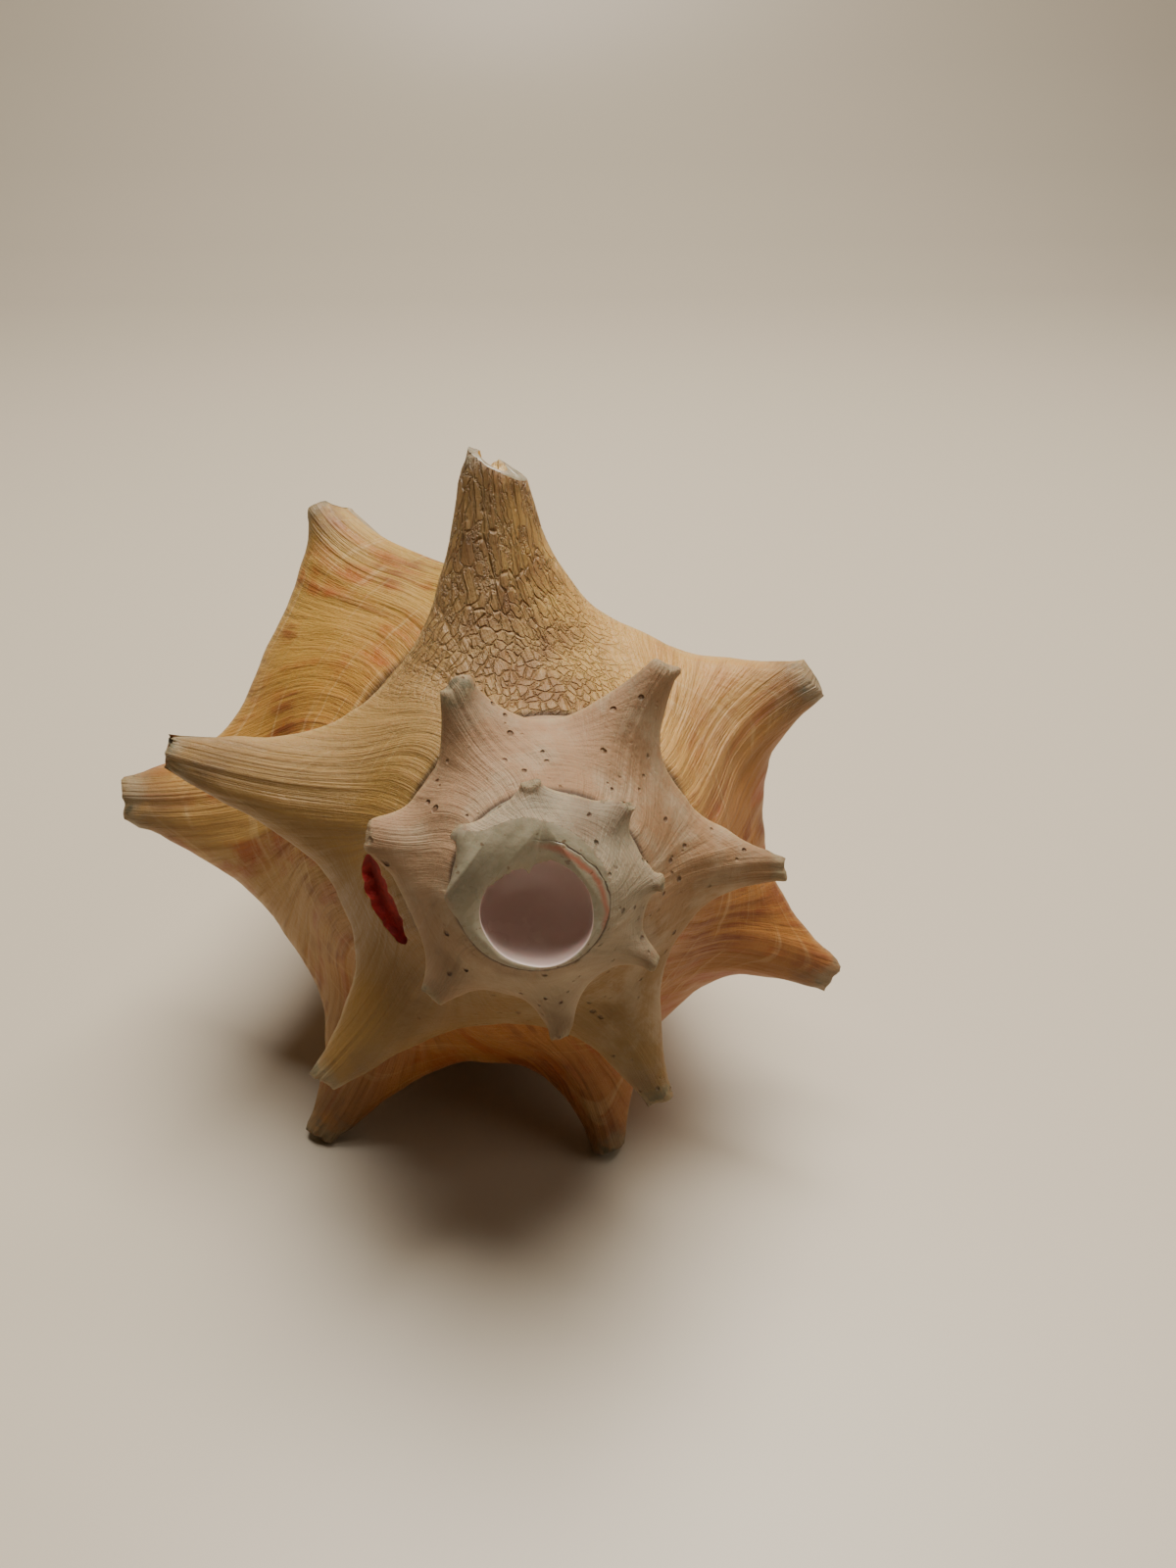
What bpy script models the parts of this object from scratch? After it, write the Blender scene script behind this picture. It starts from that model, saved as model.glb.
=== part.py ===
"""A large spiny conch shell whose apex has been sawn off, lying on two shoulder spines and its canal.

Lengths are millimetres until the placed mesh is scaled to metres. The shell is worked out about its
own coiling axis: r is the distance from the axis, w the distance along it, measured from the point
where the lost tip of the spire would be, and turn is the growth angle in degrees.
"""
import math

import bmesh
import bpy
from mathutils import Matrix, Vector

MM = 0.001

# growth of the spiral
WHORL_RATIO = 1.66           # each whorl is this much wider than the one before it
SHOULDER_AT_ZERO = 13.9      # shoulder radius at turn 0
SPIRE_SLOPE = 1.55           # shoulder distance along the axis over its radius
SHELL_LENGTH = 214.0         # from the lost tip to the end of the canal
CANAL_RADIUS = 5.5
SUTURE_DROP = 0.15           # shoulder to the next suture, as a share of the shoulder radius
LIP_TURN = 1052.0            # growth ends here, at the thin outer lip
SUTURE_LEAD = 18.0           # the growth edge runs ahead of the spines at the suture
ROW_STEP = 6.0               # one row of the mesh
ROWS = 242                   # rows from the lost tip to the lip
ROWS_A_WHORL = 60

# one spine each: growth angle in degrees, height above the shoulder, blunt end as a share of its
# reach, lean towards the apex as a share of the height
SPINES = [
    (-140, 2.2, 0.16, 0.15), (-93, 2.4, 0.16, 0.15), (-50, 1.9, 0.16, 0.15), (-3, 1.9, 0.16, 0.15),
    (48, 3.2, 0.16, 0.15), (91, 2.2, 0.16, 0.15), (126, 5.0, 0.16, 0.15), (173, 7.0, 0.16, 0.15),
    (222, 5.2, 0.16, 0.15), (286, 5.6, 0.18, 0.15), (338, 8.8, 0.18, 0.15), (393, 13.2, 0.14, 0.15),
    (453, 14.2, 0.12, 0.15), (514, 18.6, 0.11, 0.15), (583, 21.2, 0.11, 0.15), (646, 26.8, 0.12, 0.15),
    (715, 29.0, 0.14, 0.15), (783, 16.0, 0.14, 0.15), (839, 20.0, 0.11, 0.15), (888, 19.8, 0.12, 0.15),
    (933, 26.0, 0.10, 0.02), (993, 21.4, 0.12, 0.15), (1047, 10.5, 0.10, 0.15),
]
SPINE_LEAN = 4.0             # and towards the growing edge, in degrees at the tip
SPINE_STEEPNESS = 4.0
SPINE_REACH_UP = 0.60        # how far a spine's foot climbs the ramp, in shoulder radii
SPINE_REACH_DOWN = (0.24, 0.42)     # and how far it runs down the side, on the spire and on the last whorl

# walls and openings
CUT_DISTANCE = 17.9          # where the saw crossed the axis
CUT_NORMAL = (-0.15, -1.0, -0.04)   # the cut is deeper on the left
MOUTH_RADIUS = 8.0
MOUTH_DEPTH = 21.0
MOUTH_OFFSET = (-0.9, -1.9)
SLIT_PLACE = (604.0, -0.68)
SLIT_WAY = (0.53, 0.0, -0.85)
SLIT_LENGTH, SLIT_WIDTH, SLIT_DEPTH = 14.5, 3.6, 18.0
# the broken, hollow tip of the highest spine
BROKEN_SPINE, BREAK_RADIUS, BREAK_HEIGHT = 16, 63.6, 57.5
BREAK_SLOPE = (0.50, -0.25, 0.83)
HOLLOW_RADIUS, HOLLOW_DEPTH = 3.3, 17.0
CAVITY_FROM, CAVITY_TO, CAVITY_STEP = 156.0, 1092.0, 9.0
# half-section of the winding hollow: radius and distance along the axis, in shoulder radii
CAVITY_SECTION = [
    (0.665, 1.13), (0.80, 1.34), (0.925, 1.58), (0.945, 1.75), (0.885, 2.05), (0.75, 2.40),
    (0.54, 2.78), (0.30, 3.08), (0.17, 3.14), (0.13, 2.90), (0.20, 2.35), (0.36, 2.00),
    (0.55, 1.66), (0.635, 1.36),
]

# how it lies: the coiling axis dips towards the canal
TILT = 24.34
ROLL = 0.0
SHELL_COLOUR = (0.72, 0.52, 0.33, 1.0)
SHELL_ROUGHNESS = 0.45


def shoulder(turn):
    """Radius of the shoulder, between spines."""
    return SHOULDER_AT_ZERO * WHORL_RATIO ** (turn / 360.0)


def smooth(x):
    x = min(1.0, max(0.0, x))
    return x * x * (3.0 - 2.0 * x)


def place(turn, r, w):
    """From the coiling axis to the shell's own frame, in metres: +Y is along the axis, +Z is turn 0."""
    a = math.radians(turn)
    return Vector((r * math.sin(a), w, r * math.cos(a))) * MM


# the ramp runs from y = -1 at the suture to 0 at the shoulder, the side on to the next suture
RAMP_INNER = 1.0 / WHORL_RATIO
RAMP_RISE = SPIRE_SLOPE - (SPIRE_SLOPE + SUTURE_DROP) / WHORL_RATIO
RAMP_LENGTH = math.hypot(1.0 - RAMP_INNER, RAMP_RISE)


def band_section(y):
    """Radius and axial place, in shoulder radii, y = -1 suture, 0 shoulder, 1 next suture."""
    if y < 0.0:
        return 1.0 - (1.0 - RAMP_INNER) * (-y) ** 1.25, SPIRE_SLOPE + RAMP_RISE * y
    return 1.0, SPIRE_SLOPE + SUTURE_DROP * y


def body_section(turn, u):
    """The last whorl below the suture line: u = 0 at the line and 1 at the end of the canal."""
    radius = shoulder(turn)
    age = smooth((turn - (LIP_TURN - 342.0)) / 342.0)
    inner = 1.0 / (1.0 + (u / 0.36) ** 2.6)
    outer = max(0.0, 1.0 - u ** 1.6) ** 1.1
    blunt = math.sqrt(max(0.0, 1.0 - max(0.0, (u - 0.96) / 0.04) ** 2))
    r = math.hypot(radius * (inner + (outer - inner) * age), CANAL_RADIUS) * blunt
    start = (SPIRE_SLOPE + SUTURE_DROP) * radius
    return r, start + (SHELL_LENGTH - start) * u


def spine_push(turn, below):
    """Sum of the spines at a place, in millimetres: below is its distance under the shoulder."""
    radius = shoulder(turn)
    push = Vector()
    for i, (centre, height, tip, lift) in enumerate(SPINES):
        gap = turn - centre
        if abs(gap) > 75.0:
            continue
        side = SPINES[min(i + 1, len(SPINES) - 1)][0] if gap > 0 else SPINES[max(i - 1, 0)][0]
        reach = 0.62 * (abs(side - centre) or 55.0)
        across = gap / reach
        foot = SPINE_REACH_DOWN[0] + (SPINE_REACH_DOWN[1] - SPINE_REACH_DOWN[0]) * smooth((centre - 640.0) / 150.0)
        down = below / (radius * (foot if below > 0 else SPINE_REACH_UP))
        away = math.hypot(across, down)
        if away >= 1.0:
            continue
        fall = max(0.0, (away - tip) / (1.0 - tip))
        amount = height * (1.0 - fall) ** SPINE_STEEPNESS
        lean = math.radians(centre + SPINE_LEAN * amount / height)
        push += amount * Vector((math.sin(lean), -lift, math.cos(lean)))
    return push


def gathered(turn):
    """Moves a row towards the nearest spine, as the growth lines do."""
    near = min(range(len(SPINES)), key=lambda i: abs(turn - SPINES[i][0]))
    centre = SPINES[near][0]
    other = near + (1 if turn > centre else -1)
    if not 0 <= other < len(SPINES):
        return 0.0
    half = 0.5 * abs(SPINES[other][0] - centre)
    u = min(1.0, abs(turn - centre) / half)
    moved = 0.35 * u + 0.65 * u ** 2.5
    return math.copysign((moved - u) * half, turn - centre)


GATHER_AT_SUTURE = 0.55


def outside(row_turn, y):
    """A point of the outer surface, in metres; y past 1 is the last whorl's body."""
    lead = SUTURE_LEAD * smooth(-y)
    if y <= 0.0:
        own, last = 1.0 - smooth(-y), GATHER_AT_SUTURE * smooth((-y - 0.35) / 0.65)
    elif y <= 1.0:
        own, last = 1.0 - (1.0 - GATHER_AT_SUTURE) * y, 0.0
    else:
        own, last = GATHER_AT_SUTURE * (1.0 - smooth((y - 1.0) / 0.5)), 0.0
    before = row_turn + SUTURE_LEAD - 360.0
    turn = row_turn + lead + own * gathered(row_turn) + last * gathered(before)
    radius = shoulder(turn)
    if y <= 1.0:
        r, w = band_section(y)
        r, w = r * radius, w * radius
        below = radius * (RAMP_LENGTH if y < 0.0 else SUTURE_DROP) * y
    else:
        r, w = body_section(turn, y - 1.0)
        below = w - SPIRE_SLOPE * radius
    push = spine_push(turn, below)
    if y < -0.5:
        older = turn - 360.0
        push += smooth((-y - 0.5) / 0.5) * spine_push(older, shoulder(older) * SUTURE_DROP)
    return place(turn, r, w) + push * MM


def sheet(bm, rows, columns, point):
    """A grid of rows x columns vertices, each moved to point(row, column)."""
    made = bmesh.ops.create_grid(bm, x_segments=rows - 1, y_segments=columns - 1, size=0.5)
    for vert in made["verts"]:
        row = round((vert.co.x + 0.5) * (rows - 1))
        column = round((vert.co.y + 0.5) * (columns - 1))
        vert.co = point(row, column)
    return made["verts"]


def new_object(name, bm, collection):
    mesh = bpy.data.meshes.new(name)
    bm.to_mesh(mesh)
    bm.free()
    made = bpy.data.objects.new(name, mesh)
    collection.objects.link(made)
    return made


BAND = [-1.0, -0.8, -0.6, -0.42, -0.28, -0.17, -0.08, 0.0, 0.45, 1.0]
BODY = [0.0, 0.03, 0.07, 0.12, 0.18, 0.26, 0.35, 0.45, 0.55, 0.65, 0.75, 0.85, 0.93, 0.965, 0.99, 1.0]
LEAD_ROWS = round(SUTURE_LEAD / ROW_STEP)
FIRST_TURN = LIP_TURN - ROWS * ROW_STEP
BODY_ROWS = ROWS_A_WHORL - LEAD_ROWS
DOOR_COLUMNS = 3


def close_aperture(bm, start):
    """A wall from the last whorl's first row to the growing lip, below the suture."""
    first = [outside(start, 1.0 + u) for u in BODY]
    last = [outside(LIP_TURN, 1.0 + u) for u in BODY]
    sheet(bm, DOOR_COLUMNS + 1, len(BODY), lambda i, j: first[j].lerp(last[j], i / DOOR_COLUMNS))


def outer_solid(collection):
    """The shell as if it were full: every exposed whorl, with a wall across the aperture."""
    bm = bmesh.new()
    sheet(bm, ROWS + 1, len(BAND), lambda i, j: outside(FIRST_TURN + ROW_STEP * i, BAND[j]))
    start = LIP_TURN - BODY_ROWS * ROW_STEP
    sheet(bm, BODY_ROWS + 1, len(BODY), lambda i, j: outside(start + ROW_STEP * i, 1.0 + BODY[j]))
    close_aperture(bm, start)
    bmesh.ops.remove_doubles(bm, verts=bm.verts, dist=0.00001)
    geometry = bm.verts[:] + bm.edges[:] + bm.faces[:]
    bmesh.ops.bisect_plane(bm, geom=geometry, dist=0.000001, plane_co=Vector((0, CUT_DISTANCE * MM, 0)),
                           plane_no=Vector(CUT_NORMAL).normalized(), clear_outer=True)
    rim = [e for e in bm.edges if e.is_boundary and max(v.co.y for v in e.verts) < 0.03]
    lip = [e for e in bm.edges if e.is_boundary and e not in rim]
    bmesh.ops.holes_fill(bm, edges=rim)
    bmesh.ops.triangle_fill(bm, edges=lip, use_beauty=True)
    bmesh.ops.recalc_face_normals(bm, faces=bm.faces)
    return new_object("conch_shell", bm, collection)


def cavity_solid(collection):
    """The winding hollow, from the mouth hole out through the aperture."""
    bm = bmesh.new()
    rows = round((CAVITY_TO - CAVITY_FROM) / CAVITY_STEP)
    around = len(CAVITY_SECTION)

    def point(i, j):
        turn = CAVITY_FROM + CAVITY_STEP * i
        r, w = CAVITY_SECTION[j % around]
        radius = shoulder(turn)
        return place(turn, r * radius, w * radius)

    sheet(bm, rows + 1, around + 1, point)
    bmesh.ops.remove_doubles(bm, verts=bm.verts, dist=0.00001)
    bmesh.ops.holes_fill(bm, edges=[e for e in bm.edges if e.is_boundary])
    bmesh.ops.recalc_face_normals(bm, faces=bm.faces)
    return new_object("cavity_cutter", bm, collection)


def rod(name, start, end, start_radius, end_radius, sides, collection):
    """A round cutter between two points, all in metres."""
    bm = bmesh.new()
    axis = end - start
    turned = Vector((0, 0, 1)).rotation_difference(axis).to_matrix().to_4x4()
    where = Matrix.Translation((start + end) / 2) @ turned
    bmesh.ops.create_cone(bm, cap_ends=True, segments=sides, radius1=start_radius, radius2=end_radius,
                          depth=axis.length, matrix=where)
    return new_object(name, bm, collection)


def mouth_cutter(collection):
    """The hole bored down from the cut face."""
    x, z = MOUTH_OFFSET
    start = Vector((x, CUT_DISTANCE - 8.0, z)) * MM
    end = Vector((x, CUT_DISTANCE + MOUTH_DEPTH, z)) * MM
    return rod("mouth_cutter", start, end, MOUTH_RADIUS * MM, MOUTH_RADIUS * 0.94 * MM, 40, collection)


def slit_cutter(collection):
    """The narrow break through the ramp beside the suture, driven in along the axis."""
    centre = outside(*SLIT_PLACE)
    along = Vector(SLIT_WAY).normalized()
    inward = Vector((0.0, 1.0, 0.0))
    across = inward.cross(along)
    bm = bmesh.new()
    bmesh.ops.create_cone(bm, cap_ends=True, segments=20, radius1=0.5, radius2=0.5, depth=1.0)
    for vert in bm.verts:
        x, y, z = vert.co
        step = along * x * SLIT_LENGTH + across * y * SLIT_WIDTH + inward * (z + 0.25) * SLIT_DEPTH
        vert.co = centre + step * MM
    return new_object("slit_cutter", bm, collection)


def break_cutters(collection):
    """Takes the tip of the highest spine off at a slant and hollows what is left."""
    turn, _, _, lift = SPINES[BROKEN_SPINE]
    radius = shoulder(turn)
    foot = place(turn, radius, SPIRE_SLOPE * radius)
    lean = math.radians(turn + SPINE_LEAN)
    way = Vector((math.sin(lean), -lift, math.cos(lean))).normalized()
    tip = foot + way * (BREAK_RADIUS - radius) * MM
    slope = Vector(BREAK_SLOPE).normalized()
    break_off = rod("break_cutter", tip, tip + slope * 20 * MM, 14 * MM, 14 * MM, 12, collection)
    hollow = rod("hollow_cutter", tip - way * HOLLOW_DEPTH * MM, tip + way * 6 * MM,
                 HOLLOW_RADIUS * 0.45 * MM, HOLLOW_RADIUS * 1.1 * MM, 14, collection)
    return break_off, hollow


def subtract(body, cutter):
    """Cuts one object out of another and keeps the cutter aside."""
    cut = body.modifiers.new(cutter.name, "BOOLEAN")
    cut.operation = "DIFFERENCE"
    cut.solver = "EXACT"
    cut.object = cutter
    cutter.hide_render = True
    cutter.display_type = "WIRE"


def settle(objects):
    """Lays everything down as it rests, with the origin under the middle of the shell."""
    turned = Matrix.Rotation(math.radians(ROLL), 4, "Y") @ Matrix.Rotation(math.radians(-TILT), 4, "X")
    for made in objects:
        made.data.transform(turned)
    corners = [v.co for v in objects[0].data.vertices]
    low = [min(c[i] for c in corners) for i in range(3)]
    high = [max(c[i] for c in corners) for i in range(3)]
    moved = Matrix.Translation((-(low[0] + high[0]) / 2, -(low[1] + high[1]) / 2, -low[2]))
    for made in objects:
        made.data.transform(moved)
    return moved @ turned


def shell_material():
    material = bpy.data.materials.new("shell")
    material.use_nodes = True
    shader = material.node_tree.nodes["Principled BSDF"]
    shader.inputs["Base Color"].default_value = SHELL_COLOUR
    shader.inputs["Roughness"].default_value = SHELL_ROUGHNESS
    return material


def main():
    for old in list(bpy.data.objects):
        bpy.data.objects.remove(old)
    collection = bpy.data.collections.new("conch_shell")
    cutters = bpy.data.collections.new("cutters")
    bpy.context.scene.collection.children.link(collection)
    bpy.context.scene.collection.children.link(cutters)
    shell = outer_solid(collection)
    tools = [cavity_solid(cutters), mouth_cutter(cutters), slit_cutter(cutters), *break_cutters(cutters)]
    settle([shell, *tools])
    for tool in tools:
        subtract(shell, tool)
    shell.data.materials.append(shell_material())


main()
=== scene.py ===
"""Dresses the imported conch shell: a finely modelled shell over the CAD solid, with its weathered finishes.

The shell is worked out about its own coiling axis, in millimetres: r is the distance from the axis, w the
distance along it from where the lost tip of the spire would be, and turn the growth angle in degrees.
"""
import logging
import math
from dataclasses import dataclass, field
from enum import IntEnum

import bmesh
import bpy
import numpy as np
from mathutils import Matrix, Vector


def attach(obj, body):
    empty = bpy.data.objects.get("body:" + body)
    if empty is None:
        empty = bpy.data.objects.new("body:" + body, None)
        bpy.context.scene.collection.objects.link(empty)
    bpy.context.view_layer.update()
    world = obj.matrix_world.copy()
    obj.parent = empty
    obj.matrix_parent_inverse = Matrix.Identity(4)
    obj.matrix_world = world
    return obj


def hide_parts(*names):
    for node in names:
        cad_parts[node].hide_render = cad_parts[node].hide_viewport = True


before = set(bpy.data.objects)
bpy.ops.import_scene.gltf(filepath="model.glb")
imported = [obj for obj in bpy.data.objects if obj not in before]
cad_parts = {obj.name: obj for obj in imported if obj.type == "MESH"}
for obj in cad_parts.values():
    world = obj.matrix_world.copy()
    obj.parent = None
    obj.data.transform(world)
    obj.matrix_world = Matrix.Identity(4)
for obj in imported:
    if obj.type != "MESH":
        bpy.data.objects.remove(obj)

logging.basicConfig(level=logging.INFO, format="%(message)s")
log = logging.getLogger("conch")

MM = 0.001
Rgb = tuple[float, float, float]


def rgb(code: str) -> Rgb:
    """The linear colour of a six-figure hex code."""
    parts = [int(code[i:i + 2], 16) / 255.0 for i in (0, 2, 4)]
    return tuple(c / 12.92 if c <= 0.04045 else ((c + 0.055) / 1.055) ** 2.4 for c in parts)


def smooth(x: np.ndarray) -> np.ndarray:
    """An S-shaped step from 0 to 1 over x = 0 to 1."""
    x = np.clip(x, 0.0, 1.0)
    return x * x * (3.0 - 2.0 * x)


def grain(x: np.ndarray, y: np.ndarray, seed: int) -> np.ndarray:
    """Smooth noise between -1 and 1 over two coordinates, one cell per unit.

    Args:
        x: First coordinate.
        y: Second coordinate.
        seed: Picks one of many such noises.

    Returns:
        The noise at each point.
    """
    table = np.random.default_rng(seed).uniform(-1.0, 1.0, (256, 256))
    column, row = np.floor(x).astype(int), np.floor(y).astype(int)
    fx, fy = smooth(x - column), smooth(y - row)
    corners = [table[(column + i) % 256, (row + j) % 256] for i in (0, 1) for j in (0, 1)]
    left = corners[0] + (corners[1] - corners[0]) * fy
    right = corners[2] + (corners[3] - corners[2]) * fy
    return left + (right - left) * fx


class Skin(IntEnum):
    """The surfaces of the shell, in the order of its material slots."""

    OUTSIDE = 0
    SAWN = 1
    LINING = 2
    SLIT = 3
    HOLLOW = 4


@dataclass(frozen=True)
class Spine:
    """One spine on the shoulder.

    Attributes:
        turn: Growth angle at which it stands.
        height: Height above the shoulder.
        tip: Its blunt end, as a share of its reach.
        lift: Lean towards the apex, as a share of the height.
    """

    turn: float
    height: float
    tip: float = 0.11
    lift: float = 0.15


@dataclass(frozen=True)
class Growth:
    """The spiral that the whole shell follows."""

    whorl_ratio: float = 1.66
    shoulder_at_zero: float = 13.9
    spire_slope: float = 1.55
    shell_length: float = 214.0
    canal_radius: float = 5.5
    suture_drop: float = 0.15
    lip_turn: float = 1052.0
    suture_lead: float = 18.0

    @property
    def ramp_inner(self) -> float:
        """Radius of the suture, in shoulder radii."""
        return 1.0 / self.whorl_ratio

    @property
    def ramp_rise(self) -> float:
        """Distance along the axis from the suture to the shoulder, in shoulder radii."""
        return self.spire_slope - (self.spire_slope + self.suture_drop) / self.whorl_ratio

    @property
    def ramp_length(self) -> float:
        """Length of the ramp from suture to shoulder, in shoulder radii."""
        return math.hypot(1.0 - self.ramp_inner, self.ramp_rise)

    @property
    def wrap(self) -> float:
        """Rows of growth from a whorl's suture to the edge that it grows on."""
        return 360.0 - self.suture_lead

    def shoulder(self, turn: np.ndarray) -> np.ndarray:
        """Radius of the shoulder, between spines."""
        return self.shoulder_at_zero * self.whorl_ratio ** (turn / 360.0)

    def place(self, turn: np.ndarray, r: np.ndarray, w: np.ndarray) -> np.ndarray:
        """Points of the shell's own frame: +Y along the axis, +Z at turn 0."""
        a = np.radians(turn)
        return np.stack(np.broadcast_arrays(r * np.sin(a), w, r * np.cos(a)), -1)


SPINES = (
    Spine(-140, 2.2, 0.16), Spine(-93, 2.4, 0.16), Spine(-50, 1.9, 0.16), Spine(-3, 1.9, 0.16),
    Spine(48, 3.2, 0.16), Spine(91, 2.2, 0.16), Spine(126, 5.0, 0.16), Spine(173, 7.0, 0.16),
    Spine(222, 5.2, 0.16), Spine(286, 5.6, 0.18), Spine(338, 8.8, 0.18), Spine(393, 13.2, 0.14),
    Spine(453, 14.2, 0.12), Spine(514, 18.6, 0.11), Spine(583, 21.2, 0.11), Spine(646, 26.8, 0.12),
    Spine(715, 29.0, 0.14), Spine(783, 16.0, 0.14), Spine(839, 20.0, 0.11), Spine(888, 19.8, 0.12),
    Spine(933, 26.0, 0.10, 0.02), Spine(993, 21.4, 0.12), Spine(1047, 10.5, 0.05),
)
BROKEN_SPINE = SPINES[16]


@dataclass
class OuterSurface:
    """The outside of the shell as a surface over rows of growth and a place y across the whorl.

    y is -1 at the suture, 0 at the shoulder, 1 on the line where the next whorl joins, and 2 at the
    end of the canal.
    """

    growth: Growth = field(default_factory=Growth)
    spines: tuple[Spine, ...] = SPINES
    lean: float = 4.0
    steepness: float = 4.0
    reach_up: float = 0.60
    reach_down: tuple[float, float] = (0.24, 0.42)
    gather_at_suture: float = 0.55

    def band_section(self, y: np.ndarray) -> tuple[np.ndarray, np.ndarray]:
        """Radius and place along the axis of the ramp and side, in shoulder radii."""
        g = self.growth
        up = np.clip(-y, 0.0, 1.0)
        r = 1.0 - (1.0 - g.ramp_inner) * up ** 1.25
        w = np.where(y < 0.0, g.spire_slope + g.ramp_rise * y, g.spire_slope + g.suture_drop * y)
        return r, w

    def body_section(self, turn: np.ndarray, u: np.ndarray) -> tuple[np.ndarray, np.ndarray]:
        """Radius and place along the axis of the last whorl below its spines.

        Args:
            turn: Growth angle.
            u: 0 on the line of the suture and 1 at the end of the canal.

        Returns:
            The radius and the place along the axis, in millimetres.
        """
        g = self.growth
        radius = g.shoulder(turn)
        u = np.clip(u, 0.0, 1.0)
        age = smooth((turn - (g.lip_turn - g.wrap)) / g.wrap)
        inner = 1.0 / (1.0 + (u / 0.36) ** 2.6)
        outer = np.maximum(0.0, 1.0 - u ** 1.6) ** 1.1
        blunt = np.sqrt(np.maximum(0.0, 1.0 - np.maximum(0.0, (u - 0.96) / 0.04) ** 2))
        r = np.hypot(radius * (inner + (outer - inner) * age), g.canal_radius) * blunt
        start = (g.spire_slope + g.suture_drop) * radius
        return r, start + (g.shell_length - start) * u

    def spine_push(self, turn: np.ndarray, below: np.ndarray) -> tuple[np.ndarray, np.ndarray]:
        """How far the spines carry the surface out.

        Args:
            turn: Growth angle.
            below: Distance under the shoulder, in millimetres.

        Returns:
            The push, and how near the place is to a spine's tip, from 0 to 1.
        """
        radius = self.growth.shoulder(turn)
        push = np.zeros(turn.shape + (3,))
        nearness = np.zeros(turn.shape)
        last = len(self.spines) - 1
        for i, spine in enumerate(self.spines):
            gap = turn - spine.turn
            after = self.spines[min(i + 1, last)].turn - spine.turn or 55.0
            before = spine.turn - self.spines[max(i - 1, 0)].turn or 55.0
            across = gap / (0.62 * np.where(gap > 0.0, after, before))
            low, high = self.reach_down
            foot = low + (high - low) * float(smooth(np.float64((spine.turn - 640.0) / 150.0)))
            down = below / (radius * np.where(below > 0.0, foot, self.reach_up))
            away = np.hypot(across, down)
            fall = np.maximum(0.0, (away - spine.tip) / (1.0 - spine.tip))
            inside = (away < 1.0) & (np.abs(gap) <= 75.0)
            share = np.where(inside, np.maximum(0.0, 1.0 - fall) ** self.steepness, 0.0)
            lean = np.radians(spine.turn + self.lean * share)
            way = np.stack([np.sin(lean), np.full_like(lean, -spine.lift), np.cos(lean)], -1)
            push += (spine.height * share)[..., None] * way
            nearness = np.maximum(nearness, share)
        return push, nearness

    def gathered(self, turn: np.ndarray) -> np.ndarray:
        """How far rows are drawn towards the nearest spine, as the growth lines are."""
        turns = np.array([s.turn for s in self.spines])
        after = np.clip(np.searchsorted(turns, turn), 1, len(turns) - 1)
        low, high = turns[after - 1], turns[after]
        half = (high - low) / 2.0
        nearer_low = turn - low < high - turn
        gap = np.where(nearer_low, turn - low, turn - high)
        u = np.clip(np.abs(gap) / half, 0.0, 1.0)
        moved = (0.35 * u + 0.65 * u ** 2.5 - u) * half * np.sign(gap)
        return np.where((turn > turns[0]) & (turn < turns[-1]), moved, 0.0)

    def points(self, row: np.ndarray, y: np.ndarray) -> tuple[np.ndarray, np.ndarray, np.ndarray]:
        """Points of the surface.

        Args:
            row: Row of growth, in degrees.
            y: Place across the whorl, -1 to 2.

        Returns:
            The points in millimetres, how near each is to a spine's tip, and its growth angle.
        """
        g = self.growth
        up = np.clip(-y, 0.0, 1.0)
        own = np.where(y <= 0.0, 1.0 - smooth(up), 1.0 - (1.0 - self.gather_at_suture) * y)
        own = np.where(y > 1.0, self.gather_at_suture * (1.0 - smooth((y - 1.0) / 0.5)), own)
        older = self.gather_at_suture * smooth((up - 0.35) / 0.65)
        turn = row + g.suture_lead * smooth(up) + own * self.gathered(row)
        turn = turn + older * self.gathered(row + g.suture_lead - 360.0)
        radius = g.shoulder(turn)
        r, w = self.band_section(y)
        body_r, body_w = self.body_section(turn, y - 1.0)
        r = np.where(y > 1.0, body_r, r * radius)
        w = np.where(y > 1.0, body_w, w * radius)
        below = np.where(y < 0.0, g.ramp_length, g.suture_drop) * radius * y
        below = np.where(y > 1.0, w - g.spire_slope * radius, below)
        push, nearness = self.spine_push(turn, below)
        before = turn - 360.0
        drape, _ = self.spine_push(before, g.shoulder(before) * g.suture_drop)
        push = push + smooth((up - 0.5) / 0.5)[..., None] * drape
        return g.place(turn, r, w) + push, nearness, turn


@dataclass(frozen=True)
class Pose:
    """How the shell lies: turned about X so that its axis dips, then moved over the origin."""

    tilt: float = 24.34
    moved: tuple[float, float, float] = (0.010814, -0.103705, 0.091846)

    @property
    def transform(self) -> Matrix:
        """From the shell's own frame, in millimetres, to the row's frame, in metres."""
        turned = Matrix.Rotation(math.radians(-self.tilt), 4, "X")
        return Matrix.Translation(self.moved) @ turned @ Matrix.Scale(MM, 4)


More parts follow.
